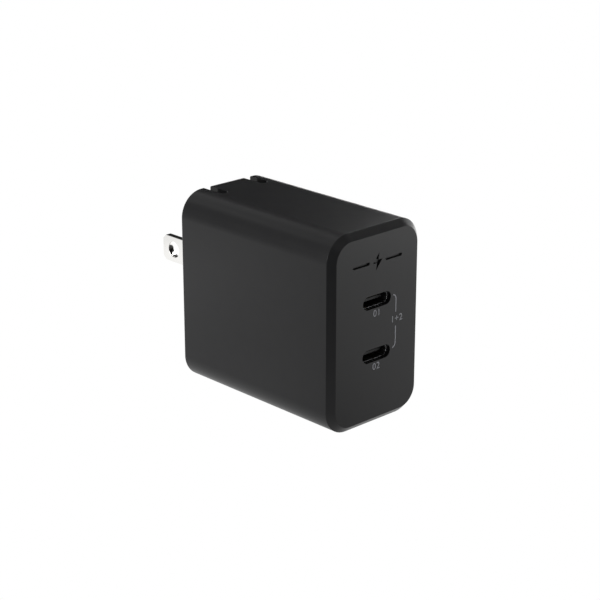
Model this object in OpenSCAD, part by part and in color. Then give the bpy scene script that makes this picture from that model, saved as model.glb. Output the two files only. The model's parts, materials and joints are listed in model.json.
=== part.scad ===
// Folding-blade USB wall charger, in millimetres.
// Frame: x runs across the ports, y runs from the ports (-y) to the blades (+y), z is up.
// The origin is in the middle of the bottom face. The blades stand out along +y.

/* [Body] */
// Width of the body, across the ports
body_width = 28.8; // [28.8:0.1:40]
// Height of the body, from the bottom face to the top face
body_height = 47; // [47:0.5:60]
// Depth of the body, from the port face to the blade face, without the blades
body_depth = 50.5; // [50.5:0.5:70]
// Radius of the four long edges
corner_radius = 6.2; // [4:0.1:8]
// Flat 45 degree chamfer round the port face
face_chamfer = 1.6; // [0.8:0.1:2]
// Small rounding of the edge round the blade face
rear_rounding = 0.4; // [0.2:0.1:1]
// Wall thickness of the body
wall = 2; // [1.6:0.1:2.4]

/* [Front cover] */
// Thickness of the port face
cover_thickness = 2.2; // [1.8:0.1:3]
// How far the cover's skirt reaches into the body
skirt_depth = 4; // [3:0.5:6]
// Wall thickness of the cover's skirt
skirt_wall = 1.2; // [1:0.1:1.6]
// Depth of the engraved mark
mark_depth = 0.5; // [0.2:0.05:0.6]
// Height of the engraved mark's centre above the bottom face
mark_height = 39.1; // [38:0.1:41]
// Width of the engraved mark
mark_width = 15.6; // [10:0.2:18]
// Width of the engraved mark's strokes
mark_stroke = 0.7; // [0.4:0.1:1]

/* [USB-C ports] */
// Width of the opening inside a port's metal shell
port_opening_width = 8.34; // [8.28:0.02:8.4]
// Height of the opening inside a port's metal shell
port_opening_height = 2.56; // [2.52:0.02:2.6]
// Sheet thickness of a port's metal shell
shell_thickness = 0.2; // [0.2:0.05:0.3]
// Length of a port's metal shell
shell_length = 8.1; // [7.5:0.1:10]
// How far the metal shell sits behind the port face
port_recess = 1; // [0.3:0.1:1.4]
// Width of the port's inner tongue
tongue_width = 6.69; // [6.6:0.01:6.75]
// Thickness of the port's inner tongue
tongue_thickness = 0.7; // [0.65:0.05:0.75]
// How far the tongue stops behind the shell's mouth
tongue_setback = 1; // [0.6:0.1:1.5]
// Length of the moulded block that fills the back of the shell
port_base_length = 2; // [1.5:0.1:3]
// Distance between neighbouring contacts of a port
contact_pitch = 0.5; // [0.5:0.05:0.5]
// Contacts on each side of the tongue
contacts_per_side = 12; // [8:2:12]
// Width of one contact
contact_width = 0.25; // [0.2:0.05:0.3]
// Height of the upper port's centre above the bottom face
upper_port_height = 29.8; // [28:0.1:31]
// Height of the lower port's centre above the bottom face
lower_port_height = 17; // [16:0.1:19]

/* [Blades] */
// Distance between the centres of the two blades
blade_spacing = 12.7; // [12.5:0.1:12.9]
// Width of a blade
blade_width = 6.35; // [6.1:0.05:6.5]
// Thickness of a blade
blade_thickness = 1.52; // [1.4:0.02:1.6]
// How far an open blade stands out of the blade face
blade_reach = 15.9; // [15.2:0.1:16]
// Distance from the blade face to the centre of a blade's hole
blade_hole_distance = 11.9; // [11.5:0.1:12.3]
// Radius of the hole near a blade's tip
blade_hole_radius = 1.98; // [1.6:0.02:2.1]
// Length of the corner cuts at a blade's tip
blade_tip_cut = 1; // [0.5:0.1:1.6]
// Height of an open blade's centre line above the bottom face
blade_height = 28.65; // [27.5:0.05:28.8]

/* [Pivot] */
// How far an open blade's centre line lies above the pivot's axis
pivot_drop = 0.55; // [0.4:0.05:0.6]
// How far a folded blade lies below the blade face
flush_gap = 0.275; // [0.2:0.025:0.5]
// Radius of the pivot shaft's journals
journal_radius = 1.7; // [1.5:0.05:1.8]
// Length of the pivot shaft
shaft_length = 19; // [18:0.2:20]
// Length of the detent leaf spring
leaf_length = 8; // [6:0.2:8.4]
// Side of the square section that drives the blades
drive_square = 2.2; // [1.8:0.1:2.3]
// Length of the detent cam in the middle of the shaft
cam_length = 5; // [4:0.2:6]
// How far the detent cam's rounded corners stand above its flats
cam_lift = 0.3; // [0.2:0.05:0.4]
// Thickness of the detent leaf spring
leaf_thickness = 0.3; // [0.2:0.05:0.4]
// Sheet thickness of the contact springs
contact_thickness = 0.3; // [0.2:0.05:0.35]
// Height of a contact spring's web, behind the retainer
web_height = 3.4; // [2.4:0.1:4]
// Length of a contact spring's soldered foot
foot_length = 2.6; // [1.5:0.1:3]

/* [Blade slots] */
// Width of the slot that a blade folds into
slot_width = 2.3; // [2:0.05:2.6]
// Room between a folded blade and the bottom of its slot
slot_floor_gap = 0.375; // [0.35:0.025:0.6]
// Wall thickness round the slots, inside the body
slot_wall = 1; // [0.8:0.1:1.4]

/* [Retainer] */
// Width of the retainer that holds the pivot shaft
retainer_width = 21; // [20.4:0.2:22]
// Thickness of the retainer's floor behind the slots
retainer_floor = 2; // [1.5:0.1:2.5]
// Thickness of the retainer's screw lugs
lug_thickness = 2; // [1.6:0.1:2.6]
// How far the retainer reaches past the slots' lower ends
retainer_margin = 1.8; // [1.4:0.1:2.4]
// Radius of the screw lugs and of the bosses that they sit on
lug_radius = 2.6; // [2.4:0.1:3]
// How far the screws bite into their bosses
screw_grip = 3.4; // [2.4:0.1:4]
// Length of the screws' slots
driver_length = 1.8; // [1.4:0.1:2]
// Width of the screws' slots
driver_width = 0.4; // [0.3:0.1:0.5]
// Radius of the screws' shanks
screw_radius = 0.8; // [0.7:0.05:1]
// Radius of the screws' heads
screw_head_radius = 1.8; // [1.5:0.1:2.1]
// Height of the screws' heads
screw_head_height = 1.1; // [0.8:0.1:1.2]
// Distance between the two lower screws
screw_spacing = 15; // [13:0.5:16]

/* [Boards] */
// Thickness of the circuit boards
board_thickness = 1.2; // [1:0.1:1.6]
// Gap between the main board and the left wall, for the flat chips
board_gap = 2; // [1.9:0.1:2.6]
// Distance between the boards' edges and the body's walls
board_margin = 0.8; // [0.6:0.1:1.2]
// Gap between the retainer and the input board
input_gap = 2.2; // [1.6:0.1:3]
// Height of the rails that hold the main board
rail_height = 1.4; // [1:0.1:2]
// Thickness of the rails that hold the main board
rail_thickness = 0.8; // [0.6:0.1:1]
// Length of the header that joins the main board to the port board
header_length = 12; // [8:1:12]

/* [Transformer] */
// Length of the transformer's core, along the body
core_length = 19; // [16:0.5:19]
// Height of the transformer's core
core_height = 18; // [15:0.5:19]
// Thickness of the transformer, off the main board
core_thickness = 16.5; // [12:0.5:18]
// Thickness of the core's two plates
core_plate = 2.4; // [1.8:0.1:3]
// Radius of the core's centre post
post_radius = 3.6; // [3:0.1:4.5]
// Wall thickness of the bobbin
bobbin_wall = 0.6; // [0.5:0.1:1]
// Radius over the winding's flanges
winding_radius = 7; // [6:0.1:7.2]
// Thickness of the core's two outer legs
core_leg = 2.2; // [1.6:0.1:2.4]

/* [Capacitors] */
// Diameter of the three storage capacitors
bulk_diameter = 8; // [6.3:0.1:8.6]
// Length of the three storage capacitors
bulk_length = 18.5; // [14:0.5:19.5]
// Diameter of the two output capacitors
output_diameter = 6.3; // [5:0.1:6.6]
// Length of the two output capacitors
output_length = 10; // [7:0.5:12]
// Sizes of the mains filter capacitor: across, along and up
filter_capacitor_size = [12, 3.6, 12];
// Radius of the safety capacitor's disc
safety_radius = 2.1; // [1.8:0.1:2.1]
// Thickness of the safety capacitor's disc
safety_thickness = 2.6; // [2:0.1:4]

/* [Mains parts] */
// Outer radius of the filter choke's ring
choke_radius = 4.4; // [3.8:0.1:4.5]
// Radius of the hole in the filter choke's ring
choke_hole = 2.2; // [1.8:0.1:2.5]
// Thickness of the filter choke's ring
choke_thickness = 4; // [3:0.5:6]
// Thickness of the wire layer on the filter choke
choke_wire = 0.5; // [0.3:0.1:0.6]
// Radius of the surge absorber's disc
varistor_radius = 3.6; // [3:0.1:4]
// Thickness of the surge absorber's disc
varistor_thickness = 2.6; // [2:0.1:3]
// Radius of the fuse
fuse_radius = 1.5; // [1.2:0.1:1.6]
// Length of the fuse
fuse_length = 8; // [6:0.5:9]

/* [Heat path] */
// Thickness of the metal heat spreader on the right wall
spreader_thickness = 0.6; // [0.4:0.1:0.8]
// Thickness of the insulating sheet behind the heat spreader
sheet_thickness = 0.3; // [0.2:0.05:0.4]

/* [Fits] */
// Radial clearance of the pivot shaft in its bearing
running_clearance = 0.05; // [0.03:0.01:0.08]
// Clearance between pieces that are assembled
fit_clearance = 0.1; // [0.06:0.01:0.15]
// Clearance between a port's shell and the cut-out in the cover
port_clearance = 0.08; // [0.05:0.01:0.12]
// Gap between a contact spring's finger and the blade's side
wiping_gap = 0.05; // [0.04:0.01:0.08]
// Gap between an open blade's lower edge and the slot's end
slot_end_gap = 0.275; // [0.2:0.025:0.35]
// Gap between the detent leaf and the cam's flat
detent_gap = 0.02; // [0.01:0.01:0.05]
// Smallest gap left between neighbouring parts on a board
part_gap = 0.2; // [0.15:0.05:0.3]

/* [Hidden] */
$fn = 64;
// How far joined shapes run into each other, and how far cuts run past a face.
eps = 0.01;
through = 1;
// Small gaps and margins between the pieces inside.
retainer_rim = 1;
lug_gap = 0.3;
leaf_side_gap = 0.3;
finger_drop = 0.025;
core_gap = 0.4;
bulk_gap = 0.35;
choke_gap = 0.3;
rail_inset = 2;
sheet_margin = 0.8;
spreader_margin = 1.4;

front_y = -body_depth / 2;
rear_y = body_depth / 2;
seam_y = front_y + face_chamfer;
cavity_x = body_width / 2 - wall;
cavity_floor = wall;
cavity_roof = body_height - wall;
cavity_radius = corner_radius - wall;

blade_x = blade_spacing / 2;
tail_radius = blade_width / 2 - pivot_drop;
pivot_y = rear_y - tail_radius - flush_gap;
pivot_z = blade_height - pivot_drop;
bearing_radius = journal_radius + running_clearance;
cam_corner_radius = journal_radius + cam_lift;
slot_floor_y = pivot_y - pivot_drop - blade_width / 2 - slot_floor_gap;
slot_bottom = blade_height - blade_width / 2 - slot_end_gap;
slot_round_y = slot_floor_y + slot_width / 2;
channel_half = slot_width / 2 + slot_wall;

retainer_bottom = slot_bottom - retainer_margin;
retainer_top = blade_height + blade_width / 2 + retainer_rim;
lug_offset = lug_radius + lug_gap;
retainer_back_y = slot_floor_y - retainer_floor;
boss_end_y = retainer_back_y + lug_thickness;
lower_screw_z = retainer_bottom - lug_offset;
upper_screw_z = retainer_top + lug_offset;
screw_places = [
    [-screw_spacing / 2, lower_screw_z], [screw_spacing / 2, lower_screw_z], [0, upper_screw_z]
];
screw_end_y = boss_end_y + screw_grip;
leaf_y = pivot_y - journal_radius - detent_gap;
leaf_width = cam_length - 2 * leaf_side_gap;
bearing_reach = shaft_length / 2 + fit_clearance;
finger_x = blade_x + blade_thickness / 2 + wiping_gap;
finger_z = pivot_z - tail_radius - finger_drop;
finger_top = pivot_z - journal_radius - fit_clearance;

shell_front_y = front_y + port_recess;
shell_width = port_opening_width + 2 * shell_thickness;
shell_height = port_opening_height + 2 * shell_thickness;
port_board_y = shell_front_y + shell_length;
port_board_back = port_board_y + board_thickness;
input_board_back = retainer_back_y - input_gap;
input_board_y = input_board_back - board_thickness;
main_board_x = -cavity_x + board_gap;
parts_x = main_board_x + board_thickness;
main_mid_y = (port_board_back + input_board_y) / 2;
board_low = cavity_floor + board_margin;
board_high = cavity_roof - board_margin;

transformer_drop = 5;
transformer_z = blade_height - transformer_drop;
filter_x = parts_x + 2 * part_gap;
inlet_x = filter_x + filter_capacitor_size[0] + 2 * part_gap + varistor_radius;
transformer_x = parts_x + core_gap;
core_end_x = transformer_x + core_thickness;
barrel_radius = post_radius + fit_clearance + bobbin_wall;
layer_radius = (barrel_radius + winding_radius) / 2;
bulk_z = cavity_roof - rail_height - part_gap - bulk_diameter / 2;
bulk_pitch = bulk_diameter + bulk_gap;
low_edge = cavity_floor + rail_height + part_gap;
choke_z = low_edge + choke_radius + choke_wire;
choke_y = input_board_y - choke_radius - choke_wire - 3 * part_gap;
output_pitch = output_diameter + 2 * part_gap;
sheet_x = cavity_x - sheet_thickness;
spreader_x = sheet_x - spreader_thickness;

// ---- shared shapes ----

// A box given by its two corners.
module block(low, high) {
    translate(low) cube(high - low);
}

// Extrudes a flat shape, drawn as x and height, from y0 to y1.
module along_y(y0, y1) {
    translate([0, y1, 0]) rotate([90, 0, 0]) linear_extrude(y1 - y0) children();
}

// Extrudes a flat shape, drawn as y and height, from x0 to x1.
module along_x(x0, x1) {
    translate([x0, 0, 0]) rotate([90, 0, 90]) linear_extrude(x1 - x0) children();
}

// A rectangle with four round corners, centred on the origin.
module round_rectangle(width, height, radius) {
    square([width - 2 * radius, height], center = true);
    square([width, height - 2 * radius], center = true);
    for (sx = [-1, 1], sy = [-1, 1])
        translate([sx * (width / 2 - radius), sy * (height / 2 - radius)]) circle(radius);
}

// The same rectangle, standing on the bottom face of the body.
module body_outline(inset) {
    translate([0, body_height / 2])
        round_rectangle(body_width - 2 * inset, body_height - 2 * inset, corner_radius - inset);
}

// Half of a slab's section: it reaches out to `reach`, and its far edge is rounded,
// or else the whole depth is cut back at 45 degrees.
module edge_section(reach, depth, edge, rounded) {
    if (rounded) {
        square([reach, depth - edge]);
        square([reach - edge, depth]);
        translate([reach - edge, depth - edge]) circle(edge);
    } else {
        polygon([[0, 0], [reach, 0], [reach - edge, depth], [0, depth]]);
    }
}

// A body-sized slab whose far face has a cut or rounded edge. It starts at y = 0 and runs to -y.
module edged_slab(depth, edge, rounded) {
    half_width = body_width / 2;
    half_height = body_height / 2;
    translate([0, 0, half_height]) rotate([90, 0, 0]) {
        for (sx = [-1, 1], sy = [-1, 1])
            translate([sx * (half_width - corner_radius), sy * (half_height - corner_radius), 0])
                rotate_extrude() edge_section(corner_radius, depth, edge, rounded);
        rotate([90, 0, 0]) linear_extrude(body_height - 2 * corner_radius, center = true)
            for (side = [0, 1]) mirror([side, 0]) edge_section(half_width, depth, edge, rounded);
        rotate([90, 0, 90]) linear_extrude(body_width - 2 * corner_radius, center = true)
            for (side = [0, 1]) mirror([side, 0]) edge_section(half_height, depth, edge, rounded);
    }
}

// A cylinder along y, from y0 to y1, at a place given as [x, z].
module rod_y(place, radius, y0, y1) {
    translate([place[0], y1, place[1]]) rotate([90, 0, 0]) cylinder(y1 - y0, radius, radius);
}

// A cylinder along x, from x0 to x1, at a place given as [y, z].
module rod_x(place, radius, x0, x1) {
    translate([x0, place[0], place[1]]) rotate([0, 90, 0]) cylinder(x1 - x0, radius, radius);
}

// ---- body ----

// The slots that the blades fold into, open to the blade face and the top face.
module blade_slots(top) {
    round_radius = slot_width / 2;
    for (side = [-1, 1]) {
        block([side * blade_x - round_radius, slot_round_y, slot_bottom],
              [side * blade_x + round_radius, rear_y + through, top]);
        translate([side * blade_x, slot_round_y, slot_bottom])
            cylinder(top - slot_bottom, round_radius, round_radius);
    }
}

// The bearing's bore, which the pivot shaft's journals turn in.
module bearing_bore() {
    rod_x([pivot_y, pivot_z], bearing_radius, -bearing_reach, bearing_reach);
}

// Walls that close the slots towards the inside of the body.
module slot_channels() {
    for (side = [-1, 1])
        block([side * blade_x - channel_half, slot_floor_y - slot_wall, retainer_top + fit_clearance],
              [side * blade_x + channel_half, rear_y - wall + eps, cavity_roof + eps]);
}

// Rails on the floor and the roof of the cavity, on both sides of the main board.
module board_rails() {
    rail_start = port_board_back + rail_inset;
    rail_end = input_board_y - rail_inset;
    for (x = [main_board_x - fit_clearance - rail_thickness, parts_x + fit_clearance]) {
        block([x, rail_start, cavity_floor - eps],
              [x + rail_thickness, rail_end, cavity_floor + rail_height]);
        block([x, rail_start, cavity_roof - rail_height],
              [x + rail_thickness, rail_end, cavity_roof + eps]);
    }
}

module housing() {
    color("#2b2b2d") difference() {
        union() {
            difference() {
                translate([0, seam_y, 0]) mirror([0, 1, 0])
                    edged_slab(rear_y - seam_y, rear_rounding, true);
                along_y(seam_y - through, rear_y - wall) body_outline(wall);
            }
            slot_channels();
            board_rails();
            block([-retainer_width / 2, pivot_y, retainer_bottom],
                  [retainer_width / 2, rear_y - wall + eps, retainer_top]);
            for (place = screw_places) rod_y(place, lug_radius, boss_end_y, rear_y - wall + eps);
        }
        blade_slots(body_height + through);
        bearing_bore();
        rod_x([pivot_y, pivot_z], cam_corner_radius + fit_clearance, -cam_length / 2 - fit_clearance,
              cam_length / 2 + fit_clearance);
        for (place = screw_places)
            rod_y(place, screw_radius, boss_end_y - through, screw_end_y + fit_clearance);
    }
}

// A generic engraved mark: a small bolt between two bars.
module engraved_mark() {
    bolt = [[0.5, 2], [-1.5, -0.35], [-0.25, -0.35], [-0.5, -2], [1.5, 0.35], [0.25, 0.35]];
    bolt_room = 5;
    bar_length = (mark_width - bolt_room) / 2;
    polygon(bolt);
    for (side = [-1, 1])
        translate([side * (mark_width - bar_length) / 2, 0])
            round_rectangle(bar_length, mark_stroke, mark_stroke / 2 - eps);
}

module port_cutout(height) {
    width = shell_width + 2 * port_clearance;
    tall = shell_height + 2 * port_clearance;
    translate([0, height]) round_rectangle(width, tall, tall / 2 - eps);
}

module front_cover() {
    skirt_end = seam_y + skirt_depth;
    color("#2b2b2d") difference() {
        union() {
            translate([0, seam_y, 0]) edged_slab(face_chamfer, face_chamfer, false);
            along_y(seam_y - eps, front_y + cover_thickness) body_outline(wall + fit_clearance);
            along_y(seam_y - eps, skirt_end) difference() {
                body_outline(wall + fit_clearance);
                body_outline(wall + fit_clearance + skirt_wall);
            }
        }
        for (height = [upper_port_height, lower_port_height])
            along_y(front_y - through, skirt_end) port_cutout(height);
        along_y(front_y - through, front_y + mark_depth) translate([0, mark_height]) engraved_mark();
    }
}

// ---- blades and pivot ----

// The square bar that turns the blades with the shaft, from x0 to x1.
module drive_bar(x0, x1) {
    block([x0, pivot_y - drive_square / 2, pivot_z - drive_square / 2],
          [x1, pivot_y + drive_square / 2, pivot_z + drive_square / 2]);
}

module blade(side) {
    x0 = side * blade_x - blade_thickness / 2;
    low = blade_height - blade_width / 2;
    high = blade_height + blade_width / 2;
    tip = rear_y + blade_reach;
    color("#c9c9c6") difference() {
        along_x(x0, x0 + blade_thickness) union() {
            translate([pivot_y, pivot_z]) circle(tail_radius);
            polygon([
                [pivot_y, low], [tip - blade_tip_cut, low], [tip, low + blade_tip_cut],
                [tip, high - blade_tip_cut], [tip - blade_tip_cut, high], [pivot_y, high]
            ]);
        }
        rod_x([rear_y + blade_hole_distance, blade_height], blade_hole_radius,
              x0 - through, x0 + blade_thickness + through);
        drive_bar(x0 - through, x0 + blade_thickness + through);
    }
}

module left_blade() blade(-1);
module right_blade() blade(1);

module pivot_shaft() {
    inner_end = blade_x - blade_thickness / 2;
    outer_start = blade_x + blade_thickness / 2;
    color("#3a3a3a") union() {
        for (side = [0, 1]) mirror([side, 0, 0]) {
            rod_x([pivot_y, pivot_z], journal_radius, cam_length / 2 - eps, inner_end);
            rod_x([pivot_y, pivot_z], journal_radius, outer_start, shaft_length / 2);
        }
        intersection() {
            rod_x([pivot_y, pivot_z], cam_corner_radius, -cam_length / 2, cam_length / 2);
            block([-cam_length, pivot_y - journal_radius, pivot_z - journal_radius],
                  [cam_length, pivot_y + journal_radius, pivot_z + journal_radius]);
        }
        drive_bar(-outer_start - eps, outer_start + eps);
    }
}

module shaft_retainer() {
    pocket_x = cam_length / 2 + fit_clearance;
    pocket_z = leaf_length / 2 + fit_clearance;
    leaf_back_y = leaf_y - leaf_thickness;
    leaf_ledge = 1.2;
    flex_room = 0.8;
    color("#4c4c50") difference() {
        union() {
            block([-retainer_width / 2, retainer_back_y, retainer_bottom],
                  [retainer_width / 2, pivot_y, retainer_top]);
            for (place = screw_places) rod_y(place, lug_radius, retainer_back_y, boss_end_y);
            block([-lug_radius, retainer_back_y, retainer_top - eps],
                  [lug_radius, boss_end_y, upper_screw_z]);
            for (side = [-1, 1])
                block([side * screw_spacing / 2 - lug_radius, retainer_back_y, lower_screw_z],
                      [side * screw_spacing / 2 + lug_radius, boss_end_y, retainer_bottom + eps]);
        }
        blade_slots(retainer_top + through);
        bearing_bore();
        block([-pocket_x, leaf_back_y, pivot_z - pocket_z],
              [pocket_x, pivot_y + through, pivot_z + pocket_z]);
        block([-pocket_x, leaf_back_y - flex_room, pivot_z - pocket_z + leaf_ledge],
              [pocket_x, pivot_y + through, pivot_z + pocket_z - leaf_ledge]);
        for (place = screw_places)
            rod_y(place, screw_radius + fit_clearance, retainer_back_y - through, boss_end_y + through);
        for (side = [0, 1]) mirror([side, 0, 0]) contact_finger(fit_clearance);
    }
}

module retainer_screws() {
    color("#8f9296") for (place = screw_places) difference() {
        union() {
            rod_y(place, screw_radius, retainer_back_y - eps, screw_end_y);
            rod_y(place, screw_head_radius, retainer_back_y - screw_head_height, retainer_back_y);
        }
        for (turn = [0, 90]) translate([place[0], retainer_back_y - screw_head_height, place[1]])
            rotate([0, turn, 0]) cube([driver_length, screw_head_height, driver_width], center = true);
    }
}

// A flat leaf that presses on the cam's flats when the blades are open or folded.
module detent_spring() {
    color("#b9bcc0") block([-leaf_width / 2, leaf_y - leaf_thickness, pivot_z - leaf_length / 2],
                           [leaf_width / 2, leaf_y, pivot_z + leaf_length / 2]);
}

// The finger that wipes on the outer side of the right-hand blade's tail, grown by a clearance.
module contact_finger(grow) {
    tip_past_pivot = 0.5;
    block([finger_x - grow, input_board_back - grow, finger_z - grow],
          [finger_x + contact_thickness + grow, pivot_y + tip_past_pivot, finger_top + grow]);
}

// A bent strip: the finger, a taller web behind the retainer, and a foot on the input board.
module contact_spring() {
    web_low = finger_z - web_height / 2;
    web_high = finger_z + web_height / 2;
    contact_finger(0);
    block([finger_x, input_board_back, web_low],
          [finger_x + contact_thickness, retainer_back_y - part_gap, web_high]);
    block([finger_x, input_board_back, web_low],
          [finger_x + foot_length, input_board_back + contact_thickness, web_high]);
}

module left_contact_spring() color("#c8963c") mirror([1, 0, 0]) contact_spring();
module right_contact_spring() color("#c8963c") contact_spring();

// ---- boards ----

module board_outline() {
    radius = cavity_radius - board_margin / 2;
    round_rectangle(2 * (cavity_x - board_margin), board_high - board_low, radius);
}

module input_board() {
    color("#1f6b3a") along_y(input_board_y, input_board_back)
        translate([0, (board_low + board_high) / 2]) board_outline();
}

module port_board() {
    color("#1f6b3a") along_y(port_board_y, port_board_back)
        translate([0, (board_low + board_high) / 2]) board_outline();
}

module main_board() {
    color("#1f6b3a") block([main_board_x, port_board_back, board_low],
                           [parts_x, input_board_y, board_high]);
}

// ---- USB-C ports ----

module port_outline(grow) {
    tall = port_opening_height + 2 * grow;
    round_rectangle(port_opening_width + 2 * grow, tall, tall / 2 - eps);
}

module port_shell(height) {
    color("#a9abad") along_y(shell_front_y, port_board_y) translate([0, height]) difference() {
        port_outline(shell_thickness);
        port_outline(0);
    }
}

module port_tongue(height) {
    tongue_front = shell_front_y + tongue_setback;
    base_front = port_board_y - port_base_length;
    color("#151515") union() {
        along_y(base_front, port_board_y) translate([0, height]) port_outline(0);
        along_y(tongue_front, base_front + eps) translate([0, height])
            round_rectangle(tongue_width, tongue_thickness, tongue_thickness / 2 - eps);
    }
}

module port_contacts(height) {
    first_x = -(contacts_per_side - 1) * contact_pitch / 2;
    contact_height = 0.06;
    contact_setback = 0.5;
    start_y = shell_front_y + tongue_setback + contact_setback;
    color("#d9b24a")
        for (side = [0, 1]) translate([0, 0, height]) mirror([0, 0, side])
            for (i = [0 : contacts_per_side - 1])
                translate([first_x + i * contact_pitch - contact_width / 2, start_y, tongue_thickness / 2])
                    cube([contact_width, port_board_y - port_base_length - start_y, contact_height]);
}

module upper_port_shell() port_shell(upper_port_height);
module lower_port_shell() port_shell(lower_port_height);
module upper_port_tongue() port_tongue(upper_port_height);
module lower_port_tongue() port_tongue(lower_port_height);
module upper_port_contacts() port_contacts(upper_port_height);
module lower_port_contacts() port_contacts(lower_port_height);

// ---- transformer, wound on an axis that stands off the main board ----

module transformer_rod(radius, from, to) {
    rod_x([main_mid_y, transformer_z], radius, transformer_x + from, transformer_x + to);
}

module transformer_core() {
    color("#4a4a4c") union() {
        for (x = [transformer_x, core_end_x - core_plate])
            block([x, main_mid_y - core_length / 2, transformer_z - core_height / 2],
                  [x + core_plate, main_mid_y + core_length / 2, transformer_z + core_height / 2]);
        for (side = [0, 1]) translate([0, main_mid_y, 0]) mirror([0, side, 0])
            block([transformer_x, core_length / 2 - core_leg, transformer_z - core_height / 2],
                  [core_end_x, core_length / 2, transformer_z + core_height / 2]);
        transformer_rod(post_radius, 0, core_thickness);
    }
}

module transformer_bobbin() {
    near_plate = core_plate;
    far_plate = core_thickness - core_plate;
    color("#d8d2c4") difference() {
        union() {
            transformer_rod(barrel_radius, near_plate, far_plate);
            transformer_rod(winding_radius, near_plate, near_plate + bobbin_wall);
            transformer_rod(winding_radius, far_plate - bobbin_wall, far_plate);
        }
        transformer_rod(post_radius + fit_clearance, 0, core_thickness);
    }
}

// One layer of wire between the bobbin's flanges.
module winding(inner, outer) {
    difference() {
        transformer_rod(outer, core_plate + bobbin_wall, core_thickness - core_plate - bobbin_wall);
        transformer_rod(inner, 0, core_thickness);
    }
}

module transformer_primary() color("#b5651d") winding(barrel_radius, layer_radius);
module transformer_secondary() color("#e2b93b") winding(layer_radius, winding_radius - part_gap);

// ---- capacitors ----

// A round capacitor that stands on the main board, with a crimped groove and a scored top.
module can_capacitor(place, diameter, length) {
    radius = diameter / 2;
    groove_radius = 0.45;
    groove_depth = 0.3;
    groove_height = 1.8;
    top_recess = 0.25;
    rim = 0.7;
    translate([parts_x, place[0], place[1]]) rotate([0, 90, 0]) rotate_extrude() difference() {
        square([radius, length]);
        translate([radius + groove_radius - groove_depth, groove_height]) circle(groove_radius);
        translate([0, length - top_recess]) square([radius - rim, through]);
    }
}

module bulk_capacitor(slot) color("#2d3f6b")
    can_capacitor([main_mid_y + slot * bulk_pitch, bulk_z], bulk_diameter, bulk_length);
module front_bulk_capacitor() bulk_capacitor(-1);
module middle_bulk_capacitor() bulk_capacitor(0);
module rear_bulk_capacitor() bulk_capacitor(1);

module output_capacitor(slot) color("#b7bac0")
    can_capacitor([port_board_back + (slot + 0.5) * output_pitch, low_edge + output_diameter / 2],
                  output_diameter, output_length);
module front_output_capacitor() output_capacitor(0);
module rear_output_capacitor() output_capacitor(1);

module filter_capacitor() {
    size = filter_capacitor_size;
    color("#e3c23c") block([filter_x, input_board_y - size[1], transformer_z - size[2] / 2],
                           [filter_x + size[0], input_board_y, transformer_z + size[2] / 2]);
}

module safety_capacitor() {
    place_y = port_board_back + part_gap + safety_radius;
    place_z = low_edge + output_diameter + part_gap + safety_radius;
    color("#3b78b4")
        rod_x([place_y, place_z], safety_radius, parts_x, parts_x + safety_thickness);
}

// ---- mains parts ----

// A ring section about the choke's axis, which stands off the main board.
module choke_ring(inner, outer, low, high, start, sweep) {
    translate([parts_x + choke_wire + choke_gap, choke_y, choke_z])
        rotate([0, 90, 0]) rotate([0, 0, start]) rotate_extrude(angle = sweep)
            translate([inner, low]) square([outer - inner, high - low]);
}

module choke_core() {
    color("#3f5a46") choke_ring(choke_hole, choke_radius, 0, choke_thickness, 0, 360);
}

module choke_winding() {
    sweep = 140;
    overrun = 5;
    inner = choke_hole - choke_wire;
    outer = choke_radius + choke_wire;
    color("#b8702c") for (start = [20, 200]) difference() {
        choke_ring(inner, outer, -choke_wire, choke_thickness + choke_wire, start, sweep);
        choke_ring(choke_hole, choke_radius, 0, choke_thickness, start - overrun, sweep + 2 * overrun);
    }
}

module surge_absorber() {
    color("#2f62a8") rod_y([inlet_x, transformer_z + varistor_radius + part_gap], varistor_radius,
                           input_board_y - varistor_thickness, input_board_y);
}

module fuse() {
    cap_length = 1.6;
    cap_thickness = 0.15;
    sleeve_radius = fuse_radius - cap_thickness;
    color("#c9cdb8")
        translate([inlet_x, input_board_y - fuse_radius, transformer_z - fuse_length - part_gap]) {
            cylinder(fuse_length, sleeve_radius, sleeve_radius);
            for (z = [0, fuse_length - cap_length])
                translate([0, 0, z]) cylinder(cap_length, fuse_radius, fuse_radius);
        }
}

// ---- chips ----

// A flat chip on the main board's back, at a distance from its middle and a height.
module back_chip(y, z, size) {
    translate([main_board_x - size[0], main_mid_y + y - size[1] / 2, z - size[2] / 2]) cube(size);
}

module bridge_rectifier() color("#1b1b1d") back_chip(8, choke_z + 4, [1.5, 5, 6.4]);
module power_switch() color("#232326") back_chip(1, transformer_z, [0.9, 8, 8]);
module primary_controller() color("#1f1f22") back_chip(2, transformer_z + 12, [1.1, 4, 5]);
module synchronous_rectifier() color("#232326") back_chip(-9.5, transformer_z + 1, [1, 5, 6]);

module optocoupler() {
    low_z = transformer_z + header_length / 2 + part_gap;
    color("#e9e7df") translate([parts_x, port_board_back + part_gap, low_z]) cube([2.1, 3.2, 3.6]);
}

// A part on the back of the port board, level with a port.
module port_part(x, height, size) {
    translate([x - size[0] / 2, port_board_back, height - size[2] / 2]) cube(size);
}

module port_inductor(height) color("#5a5c60") port_part(3.5, height, [6.6, 2.8, 6.6]);
module port_controller(height) color("#1d1d20") port_part(-3.8, height, [5, 0.9, 5]);
module upper_port_inductor() port_inductor(upper_port_height);
module lower_port_inductor() port_inductor(lower_port_height);
module upper_port_controller() port_controller(upper_port_height);
module lower_port_controller() port_controller(lower_port_height);

// A row of small chip parts on the main board's back, towards the port board.
module chip_row(count, pitch, z, size) {
    row_y = -5;
    for (i = [0 : count - 1])
        back_chip(row_y + (i - (count - 1) / 2) * pitch, z, size);
}

module chip_resistors() {
    size = [0.5, 0.8, 1.6];
    color("#26262a") {
        chip_row(6, 1.8, choke_z + 1, size);
        chip_row(5, 1.8, choke_z + 3.6, size);
    }
}

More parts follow.
